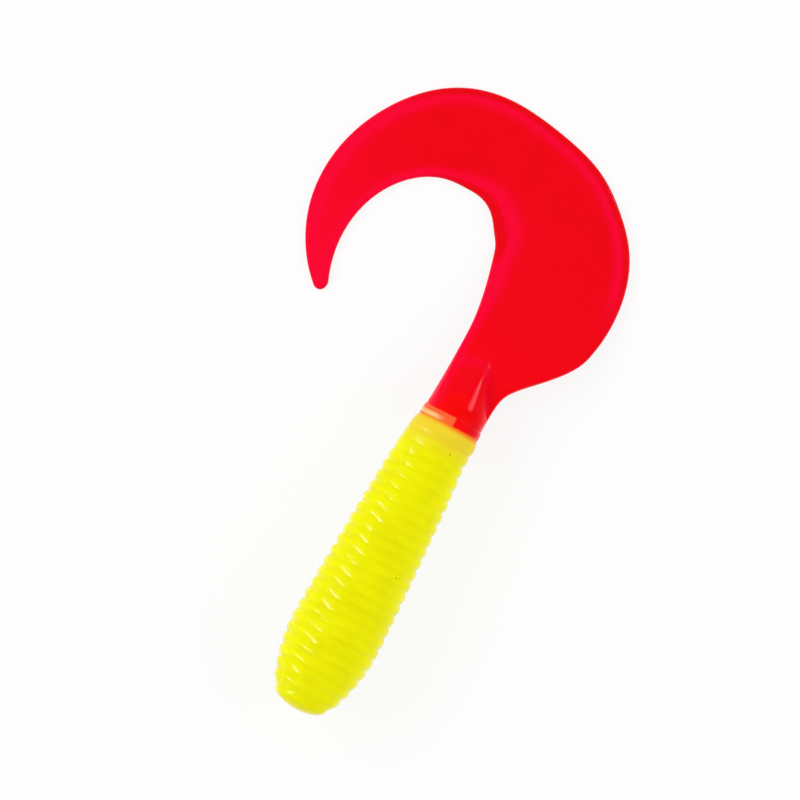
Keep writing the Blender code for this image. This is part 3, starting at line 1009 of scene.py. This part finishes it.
print("dark border ends", DARK_BAND[0], "of the way into the rim's band")

# %% Film of red at the seam
FILM_ORANGE = (0.98, 0.13, 0.03, 1.0)
FILM_ACROSS = (-0.8, -0.55)
FILM_REACH = (0.95, 0.8)
FILM_RAGGED = (-0.06, 0.06)
# The cream lip below the film is its own pale colour, streaked with painted highlight lines.
CREAM_AND_HIGHLIGHT = (0.92, 0.64, 0.25, 1.0)
LIP_ACROSS = (0.2, 2.0)
LIP_REACH = (0.4, 0.25)
HIGHLIGHT_STREAK_STRETCH = (7.0, 0.5, 0.5)
HIGHLIGHT_STREAK_RANGE = (0.4, 0.6, 0.55, 1.0)
LAP_ORANGE = (0.93, 0.2, 0.006, 1.0)
LAP_REACH = (-0.05, -0.4)


def seam_colours(tree, colour, place, along, aside):
    """The film of red at the seam, the cream lip below it streaked with painted highlight, and the
    orange line at its edge.
    """
    ragged = ramp(tree, mottle(tree, place, 0.9), *SKIN_RANGE, *FILM_RAGGED)
    along = add_node(tree, "ShaderNodeMath", {0: along, 1: ragged}, operation="ADD").outputs[0]
    inputs = {0: place, 1: HIGHLIGHT_STREAK_STRETCH}
    drawn = add_node(tree, "ShaderNodeVectorMath", inputs, operation="MULTIPLY").outputs[0]
    highlight_streaks = ramp(tree, mottle(tree, drawn, 1.0), *HIGHLIGHT_STREAK_RANGE)
    film = times(tree, ramp(tree, aside, *FILM_ACROSS), ramp(tree, along, *FILM_REACH))
    colour = tint(tree, film, colour, FILM_ORANGE)
    lip = times(tree, ramp(tree, aside, *LIP_ACROSS), ramp(tree, along, *LIP_REACH))
    colour = tint(tree, times(tree, times(tree, film, lip), highlight_streaks), colour, CREAM_AND_HIGHLIGHT)
    return tint(tree, ramp(tree, along, *LAP_REACH), colour, LAP_ORANGE)


print("film of red ends", FILM_REACH[0], "mm behind the seam")

# %% Red plastisol
RED = (0.89, 0.0004, 0.006, 1.0)
RED_DEEP = (0.865, 0.0004, 0.0045, 1.0)
RED_CLOUDS = 0.3
RED_GLOSS = (1.0, 0.65, 1.0, 1.0)
RED_IOR = 1.15
RED_ROUGHNESS = (0.08, 0.14)
RED_GRAIN = (0.8, 0.02, 7.0, 0.002)
CLEAR_START = (0.9, 2.2)
CLEAR_END = (14.0, 9.0)
CLEAR_ACROSS = (8.0, 4.0)
CLEAR_RADIUS = (1.0, 0.15, 0.2)
CLEAR_DEPTH = 1.3 * MM


def red_plastisol():
    """Clear red, in which light wanders only where the tail is thick."""
    material, tree, shader = plastisol("red_plastisol", RED_IOR, RED_GLOSS)
    place, (along, aside, _) = stored(tree, "rest")
    clouds = ramp(tree, mottle(tree, place, RED_CLOUDS), *MOTTLE_RANGE)
    colour = tint(tree, clouds, RED, RED_DEEP)
    _, (inner, outer, rise) = stored(tree, "marks")
    colour = rim_colours(tree, colour, along, aside, inner, outer, rise)
    colour = seam_colours(tree, colour, place, along, aside)
    tree.links.new(colour, shader.inputs["Base Color"])
    roughness = ramp(tree, mottle(tree, place, 2.0), *SKIN_RANGE, *RED_ROUGHNESS)
    tree.links.new(roughness, shader.inputs["Roughness"])
    thick = times(tree, ramp(tree, along, *CLEAR_START), ramp(tree, along, *CLEAR_END))
    thick = times(tree, thick, ramp(tree, aside, *CLEAR_ACROSS))
    tree.links.new(thick, shader.inputs["Subsurface Weight"])
    shader.inputs["Subsurface Radius"].default_value = CLEAR_RADIUS
    shader.inputs["Subsurface Scale"].default_value = CLEAR_DEPTH
    grain(tree, shader, place, *RED_GRAIN)
    return material


red = red_plastisol()
tail_parts = (tail_neck, tail_blade, tail_point)
for piece in tail_parts:
    piece.data.materials.append(red)
print("red on", [piece.name for piece in tail_parts])

# %% [markdown]
# In the studio, black cards would keep each panel to its own part of the worm. Light linking
# does the same: a panel lights only the pieces of its own small collection.

# %% Panels and their pieces
for panel, pieces in ((rib_panel, (worm_body,)), (gleam_panel, tail_parts)):
    takers = bpy.data.collections.new(panel.name + "_takers")
    for piece in pieces:
        takers.objects.link(piece)
    panel.light_linking.receiver_collection = takers

# %% [markdown]
# ## Riding
#
# The body rides on its own frame body. For each tail piece the bend line of its joint is worked
# out, a short stretch on both sides of it, and the piece's place is baked into its mesh. The
# solid nodes of the frame are then hidden, because these pieces stand for them.

# %% Riding
BEND_REACH = 2.4


def bend_line(joint_name):
    """The two ends of a bend: a step back and a step on, square to the joint's axis."""
    pivot = Vector(joints[joint_name]["pos_m"])
    axis = Vector(joints[joint_name]["axis"])
    onward = Vector((0.0, 0.0, 1.0)).cross(axis).normalized()
    return pivot - onward * BEND_REACH * MM, pivot + onward * BEND_REACH * MM


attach(worm_body, "body")
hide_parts("ribbed_body")

bends = (
    (tail_neck, "neck_flex", ("tail_root",)),
    (tail_blade, "curl_flex", ("tail_paddle", "tail_curl")),
    (tail_point, "tip_flex", ("tail_tip",)),
)
for piece, joint_name, nodes in bends:
    start, end = bend_line(joint_name)
    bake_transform(piece)
    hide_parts(*nodes)
    towards = [round(c, 2) for c in (end - start).normalized()]
    print(piece.name, "bends at", joint_name, "towards", towards)
